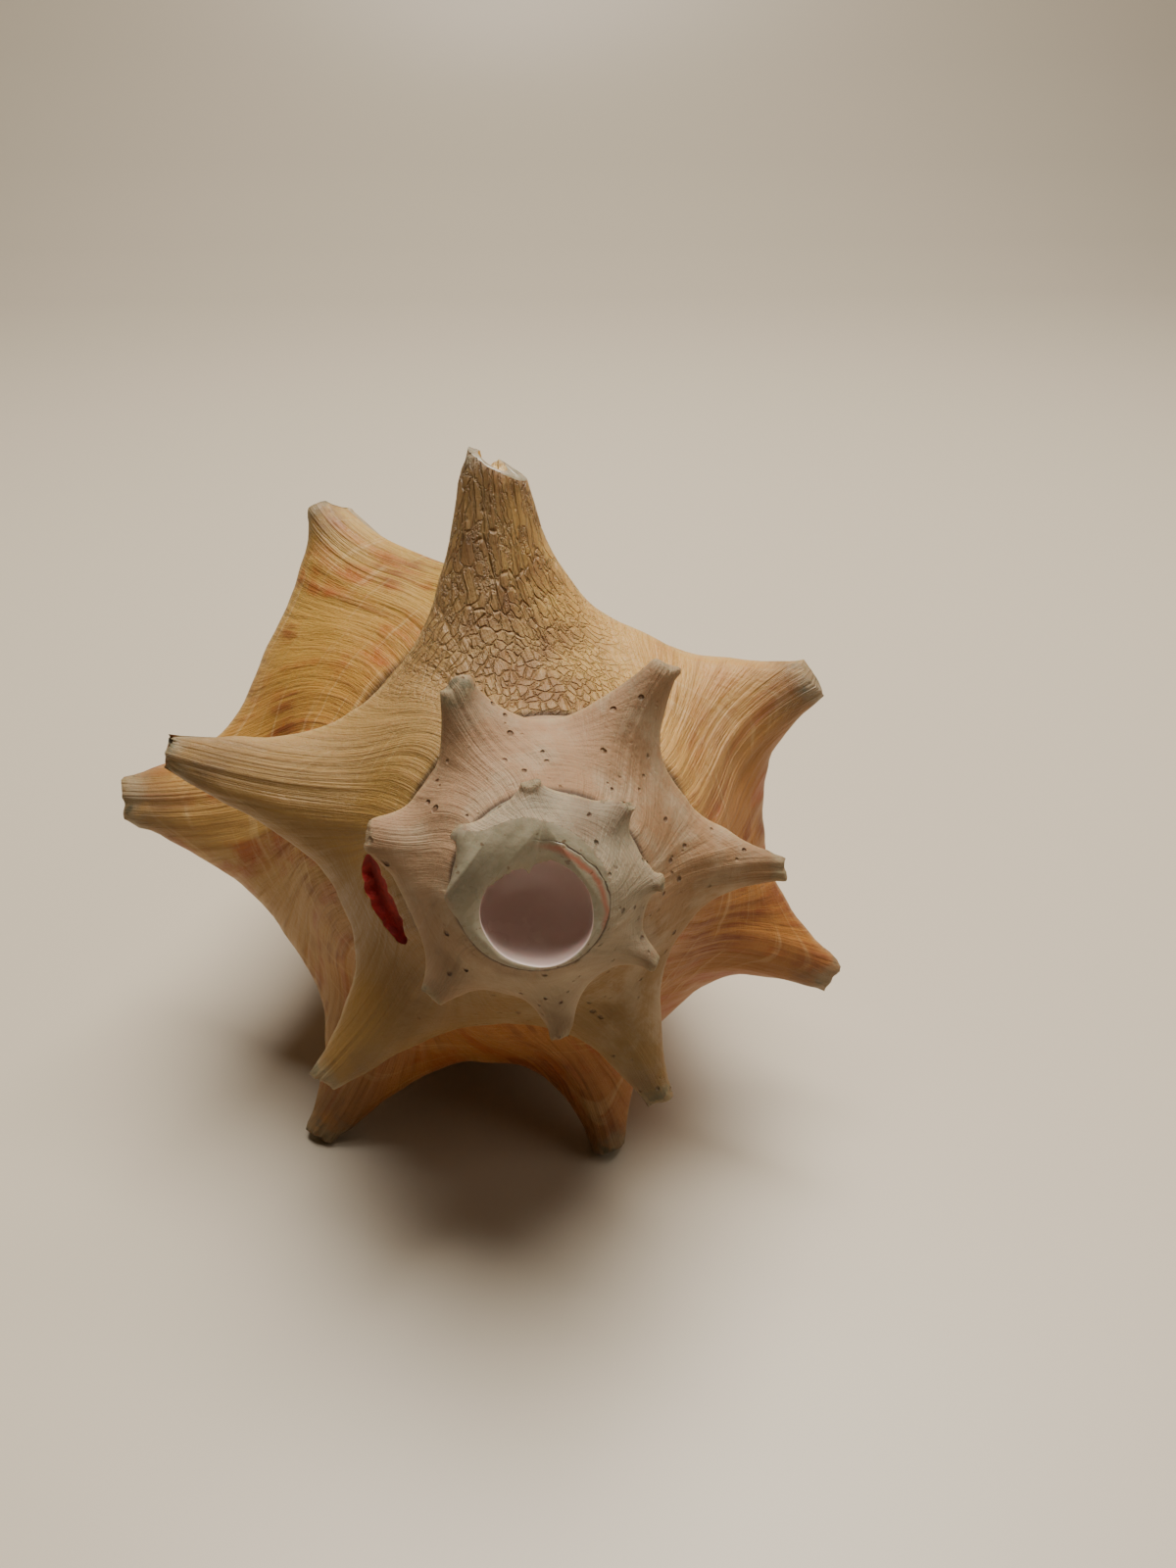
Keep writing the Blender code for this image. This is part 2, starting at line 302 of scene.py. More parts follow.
@dataclass
class ConchShell:
    """The whole shell: outer surface, winding hollow, sawn apex, slit and broken spine."""

    surface: OuterSurface = field(default_factory=OuterSurface)
    pose: Pose = field(default_factory=Pose)
    first_row: int = -220
    ramp_columns: int = 32
    side_columns: int = 8
    body_columns: int = 62
    cut_distance: float = 17.9
    cut_normal: tuple[float, float, float] = (-0.15, -1.0, -0.04)
    mouth_radius: float = 8.0
    mouth_depth: float = 11.0
    mouth_offset: tuple[float, float] = (-0.5, -2.4)
    slit_place: tuple[float, float] = (604.0, -0.68)
    slit_way: tuple[float, float, float] = (0.53, 0.0, -0.85)
    slit_size: tuple[float, float, float] = (15.5, 6.6, 2.6)
    hollow_span: tuple[float, float, float] = (330.0, 1092.0, 3.0)
    hollow_section: tuple[tuple[float, float], ...] = (
        (0.685, 1.24), (0.79, 1.43), (0.915, 1.63), (0.945, 1.75), (0.885, 2.05), (0.75, 2.40),
        (0.54, 2.78), (0.30, 3.08), (0.17, 3.14), (0.13, 2.90), (0.20, 2.35), (0.36, 2.00),
        (0.55, 1.66), (0.635, 1.36),
    )
    break_radius: float = 63.6
    break_slope: tuple[float, float, float] = (0.48, -0.42, 0.77)
    broken_hollow: tuple[float, float] = (2.5, 15.0)

    def columns(self) -> np.ndarray:
        """The places across the whorl that the mesh has, closer together near the shoulder."""
        ramp = -(np.linspace(1.0, 0.0, self.ramp_columns + 1)[:-1] ** 1.5)
        side = np.linspace(0.0, 1.0, self.side_columns + 1)[:-1]
        body = 1.0 + np.linspace(0.0, 1.0, self.body_columns + 1) ** 1.15
        return np.concatenate([ramp, side, body])

    def relief(self, points: np.ndarray, row: np.ndarray, y: np.ndarray, near: np.ndarray,
               turn: np.ndarray) -> np.ndarray:
        """Growth ridges and wear, as a distance out from the surface in millimetres.

        Args:
            points: The smooth surface.
            row: Row of growth of each point.
            y: Place across the whorl.
            near: Nearness to a spine's tip.
            turn: Growth angle.

        Returns:
            The height of the relief at each point.
        """
        size = self.surface.growth.shoulder(turn) / 55.0
        folds = grain(row / 5.0, y * 2.2, 3) * 0.30 + grain(row / 2.1, y * 3.0, 4) * 0.20
        swell = grain(row / 17.0, y * 4.0, 5) * 0.45
        lumps = grain(points[..., 0] / 4.0 + points[..., 1] / 9.0, points[..., 2] / 4.0, 6) * 0.35
        worn = grain(points[..., 0] / 2.2 + points[..., 1] / 3.1, points[..., 2] / 2.3, 7) * 0.55
        return (folds + swell) * size + lumps * 0.6 + worn * smooth((near - 0.75) / 0.25)

    def outer(self) -> bmesh.types.BMesh:
        """The shell as if it were full, closed at the aperture and with the apex sawn off."""
        g = self.surface.growth
        rows = np.arange(self.first_row, int(g.lip_turn) + 1, dtype=float)
        across = self.columns()
        row, y = np.meshgrid(rows, across, indexing="ij")
        points, near, turn = self.surface.points(row, y)
        out = np.cross(np.gradient(points, axis=1), np.gradient(points, axis=0))
        out /= np.maximum(np.linalg.norm(out, axis=-1, keepdims=True), 1e-9)
        start = int(g.lip_turn - g.wrap) - self.first_row
        seam = self.ramp_columns + self.side_columns
        joined = 1.0 - smooth((row - rows[start]) / 12.0)
        free = smooth((y + 1.0) / 0.08) * (1.0 - joined * (1.0 - smooth(np.abs(1.0 - y) / 0.3)))
        free = free * (1.0 - smooth((y - 1.9) / 0.1))
        points = points + out * (self.relief(points, row, y, near, turn) * free)[..., None]
        bm = bmesh.new()
        growth_map = bm.loops.layers.uv.new("growth")
        tip_map = bm.loops.layers.uv.new("tips")
        for span in (slice(0, start + 1), slice(start, len(rows))):
            width = seam + 1 if span.start == 0 else len(across)
            self.sheet(bm, points[span, :width], row[span, :width], y[span, :width], near[span, :width],
                       growth_map, tip_map)
        door = np.linspace(points[start, seam:], points[-1, seam:], 7)
        edge = [np.broadcast_to(sheet[-1, seam:], door.shape[:2]) for sheet in (row, y, near)]
        self.sheet(bm, door, *edge, growth_map, tip_map)
        bmesh.ops.remove_doubles(bm, verts=bm.verts, dist=0.00001 / MM)
        normal = Vector(self.cut_normal).normalized()
        bmesh.ops.bisect_plane(bm, geom=bm.verts[:] + bm.edges[:] + bm.faces[:], dist=0.00001,
                               plane_co=(0, self.cut_distance, 0), plane_no=normal, clear_outer=True)
        rim = [e for e in bm.edges if e.is_boundary and max(v.co.y for v in e.verts) < 30.0]
        rim_set = set(rim)
        lip = [e for e in bm.edges if e.is_boundary and e not in rim_set]
        for face in bmesh.ops.holes_fill(bm, edges=rim)["faces"]:
            face.material_index = Skin.SAWN
        bmesh.ops.triangle_fill(bm, edges=lip, use_beauty=True)
        bmesh.ops.recalc_face_normals(bm, faces=bm.faces)
        return bm

    def sheet(self, bm: bmesh.types.BMesh, points: np.ndarray, row: np.ndarray, y: np.ndarray,
              near: np.ndarray, growth_map: object, tip_map: object) -> None:
        """Adds one grid to bm, moved to the given points, with its growth and tip maps."""
        across, along = points.shape[1], points.shape[0]
        made = bmesh.ops.create_grid(bm, x_segments=along - 1, y_segments=across - 1, size=0.5)["verts"]
        faces = {f for v in made for f in v.link_faces}
        spot = {}
        for vert in made:
            i = round((vert.co.x + 0.5) * (along - 1))
            j = round((vert.co.y + 0.5) * (across - 1))
            spot[vert] = (i, j)
            vert.co = points[i, j]
        for face in faces:
            face.smooth = True
            for loop in face.loops:
                i, j = spot[loop.vert]
                loop[growth_map].uv = (row[i, j] / 360.0, y[i, j])
                loop[tip_map].uv = (near[i, j], 0.0)

    def hollow(self) -> bmesh.types.BMesh:
        """The winding hollow, from the mouth hole out through the aperture."""
        first, last, step = self.hollow_span
        g = self.surface.growth
        bm = bmesh.new()
        rows = round((last - first) / step)
        section = self.rounded_section()
        around = len(section)
        for vert in bmesh.ops.create_grid(bm, x_segments=rows, y_segments=around, size=0.5)["verts"]:
            turn = first + step * round((vert.co.x + 0.5) * rows)
            r, w = section[round((vert.co.y + 0.5) * around) % around]
            radius = float(g.shoulder(np.float64(turn)))
            vert.co = g.place(np.float64(turn), np.float64(r * radius), np.float64(w * radius))
        bmesh.ops.remove_doubles(bm, verts=bm.verts, dist=0.001)
        bmesh.ops.holes_fill(bm, edges=[e for e in bm.edges if e.is_boundary])
        return self.cutter(bm, Skin.LINING)

    def rounded_section(self) -> list[tuple[float, float]]:
        """The hollow's section with its corners rounded, by cutting them twice."""
        corners = list(self.hollow_section)
        for _ in range(2):
            cut = []
            for (r, w), (next_r, next_w) in zip(corners, corners[1:] + corners[:1]):
                cut.append((0.75 * r + 0.25 * next_r, 0.75 * w + 0.25 * next_w))
                cut.append((0.25 * r + 0.75 * next_r, 0.25 * w + 0.75 * next_w))
            corners = cut
        return corners

    def cutter(self, bm: bmesh.types.BMesh, skin: Skin) -> bmesh.types.BMesh:
        """Turns a cutter's faces outwards and gives them the skin that they leave behind."""
        bmesh.ops.recalc_face_normals(bm, faces=bm.faces)
        for face in bm.faces:
            face.material_index = skin
            face.smooth = True
        return bm

    def mouth(self) -> bmesh.types.BMesh:
        """The hole in the cut face, with a chipped edge and a tooth, over a rounded bowl."""
        bm = bmesh.new()
        x, z = self.mouth_offset
        edge = [(1.04, -9.0), (1.0, -0.15), (0.985, 0.5), (1.0, 1.6), (1.0, 0.45 * self.mouth_depth)]
        bowl = [(math.cos(a), math.sin(a)) for a in np.radians(np.linspace(8.0, 88.0, 12))]
        profile = edge + [(c, (0.45 + 0.55 * s) * self.mouth_depth) for c, s in bowl]
        sides = 120
        grid = bmesh.ops.create_grid(bm, x_segments=sides, y_segments=len(profile) - 1, size=0.5)["verts"]
        for vert in grid:
            a = 2.0 * math.pi * round((vert.co.x + 0.5) * sides) / sides
            share, depth = profile[round((vert.co.y + 0.5) * (len(profile) - 1))]
            wave = 1.0 + 0.012 * math.sin(3.0 * a + 0.6) + 0.006 * math.sin(7.0 * a)
            if depth < 1.0:
                wave -= self.chip(a)
            r = self.mouth_radius * share * wave
            right, up = x + r * math.sin(a), z + r * math.cos(a)
            slant = self.cut_normal[0] * right + self.cut_normal[2] * up
            vert.co = (right, self.cut_distance + depth + slant, up)
        bmesh.ops.remove_doubles(bm, verts=bm.verts, dist=0.001)
        bmesh.ops.holes_fill(bm, edges=[e for e in bm.edges if e.is_boundary])
        return self.cutter(bm, Skin.LINING)

    @staticmethod
    def chip(angle: float) -> float:
        """How far the hole's broken edge stands in at an angle, as a share of its radius."""
        degrees = (math.degrees(angle) + 180.0) % 360.0 - 180.0
        arc = max(0.0, 1.0 - ((degrees + 22.0) / 36.0) ** 2)
        jag = 0.35 + 0.25 * math.sin(0.55 * degrees) + 0.18 * math.sin(1.3 * degrees + 1.0)
        tooth = max(0.0, 1.0 - abs(degrees + 8.0) / 8.0)
        return 0.13 * math.sqrt(arc) * (0.7 + 0.5 * jag) * (1.0 if arc > 0.0 else 0.0) + 0.15 * tooth

    def on_surface(self, row: float, y: float) -> Vector:
        """One point of the smooth outer surface."""
        points, _, _ = self.surface.points(np.array([row]), np.array([y]))
        return Vector(points[0])

    def slit(self) -> bmesh.types.BMesh:
        """The narrow break in the ramp beside the suture, whose floor is painted deep red: painted shade over the pink
        shell.
        """
        row, y = self.slit_place
        centre = self.on_surface(row, y)
        forward = self.on_surface(row + 2.0, y) - self.on_surface(row - 2.0, y)
        inward = forward.cross(self.on_surface(row, y + 0.05) - self.on_surface(row, y - 0.05)).normalized()
        inward *= math.copysign(1.0, inward.y)
        across = inward.cross(Vector(self.slit_way)).normalized()
        along = across.cross(inward)
        length, width, depth = self.slit_size
        bm = bmesh.new()
        bmesh.ops.create_cone(bm, cap_ends=True, segments=48, radius1=0.5, radius2=0.5, depth=1.0)
        for vert in bm.verts:
            x, y, z = vert.co
            jag = 1.0 + 0.10 * math.sin(31.0 * x) + 0.06 * math.sin(57.0 * x + 1.0)
            vert.co = centre + along * x * length + across * y * width * jag + inward * (z + 0.25) * depth
        return self.cutter(bm, Skin.SLIT)

    def broken_tip(self) -> list[bmesh.types.BMesh]:
        """What takes the tip of the highest spine off at a slant, and what hollows it."""
        g = self.surface.growth
        spine = BROKEN_SPINE
        radius = float(g.shoulder(np.float64(spine.turn)))
        foot = Vector(g.place(np.float64(spine.turn), np.float64(radius), np.float64(g.spire_slope * radius)))
        lean = math.radians(spine.turn + self.surface.lean)
        way = Vector((math.sin(lean), -spine.lift, math.cos(lean))).normalized()
        tip = foot + way * (self.break_radius - radius)
        slope = Vector(self.break_slope).normalized()
        width, depth = self.broken_hollow
        off = self.rod(tip, tip + slope * 20.0, 14.0, 14.0, 64)
        inside = self.rod(tip - way * depth, tip + way * 6.0, width * 0.45, width * 1.1, 48)
        return [self.cutter(off, Skin.SAWN), self.cutter(inside, Skin.HOLLOW)]

    @staticmethod
    def rod(start: Vector, end: Vector, start_radius: float, end_radius: float, sides: int) -> bmesh.types.BMesh:
        """A round bar or cone between two points."""
        bm = bmesh.new()
        axis = end - start
        turned = Vector((0, 0, 1)).rotation_difference(axis).to_matrix().to_4x4()
        bmesh.ops.create_cone(bm, cap_ends=True, segments=sides, radius1=start_radius, radius2=end_radius,
                              depth=axis.length, matrix=Matrix.Translation((start + end) / 2) @ turned)
        return bm

    def build(self, finishes: list[bpy.types.Material]) -> bpy.types.Object:
        """Makes the shell, cuts it and lays it down.

        Args:
            finishes: One material for each Skin, in order.

        Returns:
            The finished piece.
        """
        body = self.as_object("shell", self.outer(), finishes)
        tools = [self.hollow(), self.mouth(), self.slit(), *self.broken_tip()]
        cutters = [self.as_object(f"cutter_{i}", bm, finishes) for i, bm in enumerate(tools)]
        rest = self.pose.transform
        for made in (body, *cutters):
            made.data.transform(rest)
        for cutter in cutters:
            cut = body.modifiers.new(cutter.name, "BOOLEAN")
            cut.operation, cut.solver, cut.object = "DIFFERENCE", "EXACT", cutter
            cut.material_mode = "INDEX"
        graph = bpy.context.evaluated_depsgraph_get()
        mesh = bpy.data.meshes.new_from_object(body.evaluated_get(graph))
        body.modifiers.clear()
        body.data = mesh
        for cutter in cutters:
            bpy.data.objects.remove(cutter)
        log.info("shell: %d faces", len(mesh.polygons))
        return body

    @staticmethod
    def as_object(name: str, bm: bmesh.types.BMesh, finishes: list[bpy.types.Material]) -> bpy.types.Object:
        """Puts a bmesh in a new object that has every finish of the shell."""
        mesh = bpy.data.meshes.new(name)
        bm.to_mesh(mesh)
        bm.free()
        for finish in finishes:
            mesh.materials.append(finish)
        made = bpy.data.objects.new(name, mesh)
        bpy.context.scene.collection.objects.link(made)
        return made


Socket = bpy.types.NodeSocket


class Bench:
    """The nodes of one material, with a short method for each kind that the finishes use."""

    def __init__(self, name: str) -> None:
        """Starts a material that has only its shader and output."""
        self.material = bpy.data.materials.new(name)
        self.material.use_nodes = True
        self.tree = self.material.node_tree
        self.shader = self.tree.nodes["Principled BSDF"]

    def node(self, kind: str, **settings: object) -> bpy.types.Node:
        """A new node with its settings."""
        made = self.tree.nodes.new(kind)
        for name, value in settings.items():
            setattr(made, name, value)
        return made

    def feed(self, target: Socket, value: object) -> None:
        """Links a socket to a target, or sets the target to a plain value."""
        if isinstance(value, bpy.types.NodeSocket):
            self.tree.links.new(value, target)
        elif isinstance(value, tuple) and len(value) == 3 and target.type == "RGBA":
            target.default_value = (*value, 1.0)
        else:
            target.default_value = value

    def math(self, operation: str, a: object, b: object = 0.0, clamp: bool = False) -> Socket:
        """One step of arithmetic."""
        made = self.node("ShaderNodeMath", operation=operation, use_clamp=clamp)
        self.feed(made.inputs[0], a)
        self.feed(made.inputs[1], b)
        return made.outputs[0]

    def mix(self, share: object, a: object, b: object, blend: str = "MIX") -> Socket:
        """Mixes two colours."""
        made = self.node("ShaderNodeMix", data_type="RGBA", blend_type=blend)
        self.feed(made.inputs[0], share)
        self.feed(made.inputs[6], a)
        self.feed(made.inputs[7], b)
        return made.outputs[2]

    def span(self, value: Socket, low: float, high: float, start: float = 0.0, end: float = 1.0) -> Socket:
        """A soft step of a value from start to end, as the value goes from low to high."""
        made = self.node("ShaderNodeMapRange", interpolation_type="SMOOTHSTEP")
        for i, setting in enumerate((value, low, high, start, end)):
            self.feed(made.inputs[i], setting)
        return made.outputs[0]

    def ramp(self, value: Socket, stops: list[tuple[float, Rgb]]) -> Socket:
        """A colour for each place along a value from 0 to 1."""
        made = self.node("ShaderNodeValToRGB")
        marks = made.color_ramp.elements
        while len(marks) < len(stops):
            marks.new(0.5)
        for mark, (place, colour) in zip(marks, stops):
            mark.position = place
            mark.color = (*colour, 1.0)
        self.feed(made.inputs[0], value)
        return made.outputs[0]

    def noise(self, where: Socket, scale: float, detail: float = 4.0, rough: float = 0.55) -> Socket:
        """Cloudy noise."""
        made = self.node("ShaderNodeTexNoise")
        for name, value in (("Vector", where), ("Scale", scale), ("Detail", detail), ("Roughness", rough)):
            self.feed(made.inputs[name], value)
        return made.outputs["Fac"]

    def cells(self, where: Socket, scale: float, feature: str = "F1") -> Socket:
        """Distance in a pattern of cells, from their centres or from their edges."""
        made = self.node("ShaderNodeTexVoronoi", feature=feature)
        self.feed(made.inputs["Vector"], where)
        self.feed(made.inputs["Scale"], scale)
        return made.outputs["Distance"]

    def place(self) -> Socket:
        """The place in the object, in metres."""
        return self.node("ShaderNodeTexCoord").outputs["Object"]

    def uv(self, name: str) -> tuple[Socket, Socket]:
        """The two values of a map."""
        parts = self.node("ShaderNodeSeparateXYZ")
        self.feed(parts.inputs[0], self.node("ShaderNodeUVMap", uv_map=name).outputs[0])
        return parts.outputs[0], parts.outputs[1]

    def vector(self, x: object, y: object, z: object = 0.0) -> Socket:
        """A vector from three values."""
        made = self.node("ShaderNodeCombineXYZ")
        for socket, value in zip(made.inputs, (x, y, z)):
            self.feed(socket, value)
        return made.outputs[0]

    def bump(self, height: Socket, depth: float, strength: float = 1.0) -> None:
        """Gives the shader a relief of that depth in metres."""
        made = self.node("ShaderNodeBump")
        self.feed(made.inputs["Height"], height)
        made.inputs["Distance"].default_value = depth
        made.inputs["Strength"].default_value = strength
        self.tree.links.new(made.outputs[0], self.shader.inputs["Normal"])

    def finish(self, colour: object, roughness: object, **fixed: float) -> bpy.types.Material:
        """Feeds the shader and returns the material."""
        self.feed(self.shader.inputs["Base Color"], colour)
        self.feed(self.shader.inputs["Roughness"], roughness)
        for name, value in fixed.items():
            self.shader.inputs[name.replace("_", " ")].default_value = value
        return self.material


@dataclass(frozen=True)
class Weathered:
    """The outside: chalky mauve spire, tan and orange last whorl, growth lines, pits and worn tips."""

    stops: tuple[tuple[float, str], ...] = (
        (-220.0, "988E7C"), (60.0, "94866E"), (230.0, "9A7C5E"), (340.0, "A07E5E"), (450.0, "987450"),
        (505.0, "86683E"), (590.0, "886432"), (650.0, "96743A"), (705.0, "AC8A58"), (735.0, "D2A860"),
        (800.0, "A46C2C"), (920.0, "AC7038"), (975.0, "B48C4C"), (1010.0, "B08038"), (1052.0, "B49048"),
    )
    first: float = -220.0
    last: float = 1052.0

    def material(self) -> bpy.types.Material:
        """Makes the material."""
        b = Bench("weathered shell")
        where = b.place()
        whorls, across = b.uv("growth")
        near, _ = b.uv("tips")
        turn = b.math("MULTIPLY", whorls, 360.0)
        length = self.last - self.first
        along = b.math("DIVIDE", b.math("SUBTRACT", turn, self.first), length)
        wander = b.math("MULTIPLY", b.math("SUBTRACT", b.noise(where, 45.0), 0.5), 0.035)
        base = b.ramp(b.math("ADD", along, wander), [((t - self.first) / length, rgb(c)) for t, c in self.stops])
        body = b.span(turn, 560.0, 740.0)
        orange = b.span(turn, 730.0, 800.0)
        spire = b.math("SUBTRACT", 1.0, b.span(turn, 470.0, 600.0))

        # growth lines run from suture to canal and draw together on the spines
        lines = b.noise(b.vector(b.math("MULTIPLY", turn, 0.62), b.math("MULTIPLY", across, 1.6)), 1.0, 5.0, 0.62)
        bands = b.noise(b.vector(b.math("MULTIPLY", turn, 0.11), b.math("MULTIPLY", across, 1.1), 7.0), 1.0, 3.0)
        cords = b.noise(b.vector(b.math("MULTIPLY", turn, 0.03), b.math("MULTIPLY", across, 22.0), 3.0), 1.0, 3.0)
        mottle = b.noise(where, 130.0, 6.0, 0.62)
        blotch = b.noise(where, 48.0, 4.0, 0.6)

        colour = b.mix(b.math("MULTIPLY", b.span(lines, 0.50, 0.68), b.math("MULTIPLY", body, 0.40)),
                       base, rgb("825025"))
        streak = b.math("MULTIPLY", b.span(bands, 0.47, 0.62), b.span(mottle, 0.36, 0.60))
        colour = b.mix(b.math("MULTIPLY", streak, b.math("MULTIPLY", orange, 0.80)), colour, rgb("A04C18"))
        rust = b.math("MULTIPLY", b.span(blotch, 0.52, 0.68), b.span(lines, 0.42, 0.58))
        colour = b.mix(b.math("MULTIPLY", rust, b.math("MULTIPLY", orange, 0.75)), colour, rgb("78340F"))
        pale = b.math("MULTIPLY", b.span(cords, 0.56, 0.70), b.math("MULTIPLY", body, 0.35))
        colour = b.mix(pale, colour, rgb("D2B37E"))

        # the tall broken spine is tan brown and crumpled
        tall = b.math("MULTIPLY", b.span(turn, 672.0, 700.0), b.math("SUBTRACT", 1.0, b.span(turn, 728.0, 752.0)))
        colour = b.mix(b.math("MULTIPLY", tall, b.span(mottle, 0.40, 0.64, 0.15, 0.75)), colour, rgb("86603C"))
        olive = b.math("MULTIPLY", b.span(turn, 490.0, 520.0), b.math("SUBTRACT", 1.0, b.span(turn, 590.0, 625.0)))
        colour = b.mix(b.math("MULTIPLY", olive, b.span(near, 0.1, 0.8, 0.1, 0.55)), colour, rgb("93733A"))

        # chalk, stains and pits of the spire
        chalk = b.math("MULTIPLY", spire, b.span(mottle, 0.44, 0.64, 0.0, 0.6))
        colour = b.mix(chalk, colour, rgb("AA9579"))
        stain = b.math("MULTIPLY", b.math("MULTIPLY", spire, 0.6), b.span(blotch, 0.54, 0.72))
        colour = b.mix(stain, colour, rgb("6D5038"))
        pit = b.span(b.math("ADD", b.cells(where, 460.0), b.math("MULTIPLY", mottle, 0.5)), 0.34, 0.50, 1.0, 0.0)
        sparse = b.span(b.noise(where, 170.0, 2.0), 0.50, 0.58)
        pits = b.math("MULTIPLY", b.math("MULTIPLY", pit, sparse), b.math("MULTIPLY", spire, 0.9))
        colour = b.mix(b.math("MULTIPLY", pits, 0.75), colour, rgb("563A24"))

        # pale chalky rims with a painted highlight on the shoulder ridge, dirt along the sutures and worn tips
        # painted highlight: the shoulder ridge is mixed towards pale tan, partly chalky wear and partly light caught
        # on the ridge
        shoulder = b.math("SUBTRACT", 1.0, b.span(b.math("ABSOLUTE", across), 0.0, 0.10))
        colour = b.mix(b.math("MULTIPLY", shoulder, 0.30), colour, rgb("BFA778"))
        seam = b.span(across, -0.990, -0.925, 1.0, 0.0)
        colour = b.mix(b.math("MULTIPLY", seam, 0.85), colour, rgb("3E2C1E"))
        worn = b.span(b.math("ADD", near, b.math("MULTIPLY", b.math("SUBTRACT", mottle, 0.5), 0.5)), 0.80, 0.98)
        browned = b.math("MULTIPLY", b.span(near, 0.35, 0.95), b.span(mottle, 0.36, 0.62, 0.2, 0.75))
        colour = b.mix(browned, colour, rgb("6E5234"))
        colour = b.mix(b.math("MULTIPLY", worn, 0.55), colour, rgb("96896B"))
        grime = b.math("MULTIPLY", worn, b.span(b.noise(where, 330.0, 3.0), 0.54, 0.64))
        colour = b.mix(b.math("MULTIPLY", grime, 0.75), colour, rgb("5E5A44"))

        # relief: fine lines everywhere, a crumpled net on the tall spine, chalky grain on the spire
        net_x = b.math("ADD", b.math("MULTIPLY", turn, 0.34), b.math("MULTIPLY", mottle, 4.0))
        net_y = b.math("ADD", b.math("MULTIPLY", across, 17.0), b.math("MULTIPLY", blotch, 6.0))
        net = b.cells(b.vector(net_x, net_y, b.math("MULTIPLY", mottle, 3.0)), 1.0, "DISTANCE_TO_EDGE")
        net = b.span(net, 0.0, 0.16)
        height = b.math("MULTIPLY", lines, b.math("ADD", b.math("MULTIPLY", body, 0.6), 0.3))
        height = b.math("ADD", height, b.math("MULTIPLY", cords, 0.22))
        height = b.math("ADD", height, b.math("MULTIPLY", b.math("MULTIPLY", net, tall), 0.55))
        height = b.math("ADD", height, b.math("MULTIPLY", b.noise(where, 900.0, 3.0, 0.7), 0.18))
        height = b.math("SUBTRACT", height, b.math("MULTIPLY", pits, 0.9))
        b.bump(height, 0.0011, 0.9)
        rough = b.span(b.math("ADD", lines, b.math("MULTIPLY", spire, 0.35)), 0.3, 0.9, 0.42, 0.74)
        return b.finish(colour, rough, Subsurface_Weight=0.12, Subsurface_Scale=0.004)


@dataclass(frozen=True)
class SawnRing:
    """The ground face: glossy white with a pink band, growth rings and a dark crack."""

    centre: tuple[float, float, float] = (0.0103, -0.0882, 0.0822)

    def material(self) -> bpy.types.Material:
        """Makes the material."""
        b = Bench("sawn ring")
        where = b.place()
        away = b.node("ShaderNodeVectorMath", operation="DISTANCE")
        b.feed(away.inputs[0], where)
        b.feed(away.inputs[1], self.centre)
        distance = away.outputs["Value"]
        waver = b.math("MULTIPLY", b.math("SUBTRACT", b.noise(where, 260.0, 3.0), 0.5), 0.0016)
        ring = b.math("ADD", distance, waver)
        cloudy = b.noise(where, 420.0, 4.0)
        colour = b.mix(b.span(cloudy, 0.30, 0.70, 0.4, 1.0), rgb("8D836B"), rgb("A39982"))
        parts = b.node("ShaderNodeSeparateXYZ")
        b.feed(parts.inputs[0], where)
        right = b.span(parts.outputs[0], self.centre[0] - 0.001, self.centre[0] + 0.003)
        pink = b.span(b.math("ABSOLUTE", b.math("SUBTRACT", ring, 0.0098)), 0.0, 0.0008, 1.0, 0.0)
        colour = b.mix(b.math("MULTIPLY", b.math("MULTIPLY", pink, right), 0.8), colour, rgb("A8624C"))
        crack = b.span(b.math("ABSOLUTE", b.math("SUBTRACT", ring, 0.0107)), 0.0, 0.0002, 1.0, 0.0)
        crack = b.math("MULTIPLY", crack, right)
        colour = b.mix(b.math("MULTIPLY", crack, b.span(cloudy, 0.42, 0.52, 0.2, 0.9)), colour, rgb("4A3226"))
        specks = b.math("MULTIPLY", b.span(b.noise(where, 800.0, 2.0), 0.66, 0.72), 0.7)
        colour = b.mix(specks, colour, rgb("6E5238"))
        b.bump(b.math("SUBTRACT", cloudy, crack), 0.0003, 0.6)
        return b.finish(colour, b.span(cloudy, 0.3, 0.7, 0.20, 0.38), Subsurface_Weight=0.15, Subsurface_Scale=0.003)


@dataclass(frozen=True)
class Lining:
    """The smooth mauve inside, paler towards the lip."""

    def material(self) -> bpy.types.Material:
        """Makes the material."""
        b = Bench("mauve lining")
        where = b.place()
        parts = b.node("ShaderNodeSeparateXYZ")
        b.feed(parts.inputs[0], where)
        cloud = b.noise(where, 60.0, 4.0)
        depth = b.math("ADD", parts.outputs[1], b.math("MULTIPLY", b.math("SUBTRACT", cloud, 0.5), 0.03))
        colour = b.ramp(b.span(depth, -0.09, 0.07), [(0.0, rgb("DEC8C2")), (0.5, rgb("E2C6BC")), (1.0, rgb("DCBC9C"))])
        veins = b.span(b.noise(where, 240.0, 5.0), 0.5, 0.75, 0.0, 0.35)
        colour = b.mix(veins, colour, rgb("EADACC"))
        b.bump(cloud, 0.0006, 0.5)
        return b.finish(colour, b.span(cloud, 0.3, 0.7, 0.16, 0.30), Subsurface_Weight=0.15, Subsurface_Scale=0.004)


@dataclass(frozen=True)
class BrokenEdge:
    """Broken shell: rough layers in two colours; the slit's deep red pair is painted shade over pink shell."""

    name: str
    deep: str
    pale: str
    roughness: float = 0.6

    def material(self) -> bpy.types.Material:
        """Makes the material."""
        b = Bench(self.name)
        where = b.place()
        layers = b.noise(where, 500.0, 5.0, 0.65)
        colour = b.mix(b.span(layers, 0.42, 0.66), rgb(self.deep), rgb(self.pale))
        b.bump(layers, 0.0005, 0.8)
        return b.finish(colour, self.roughness)


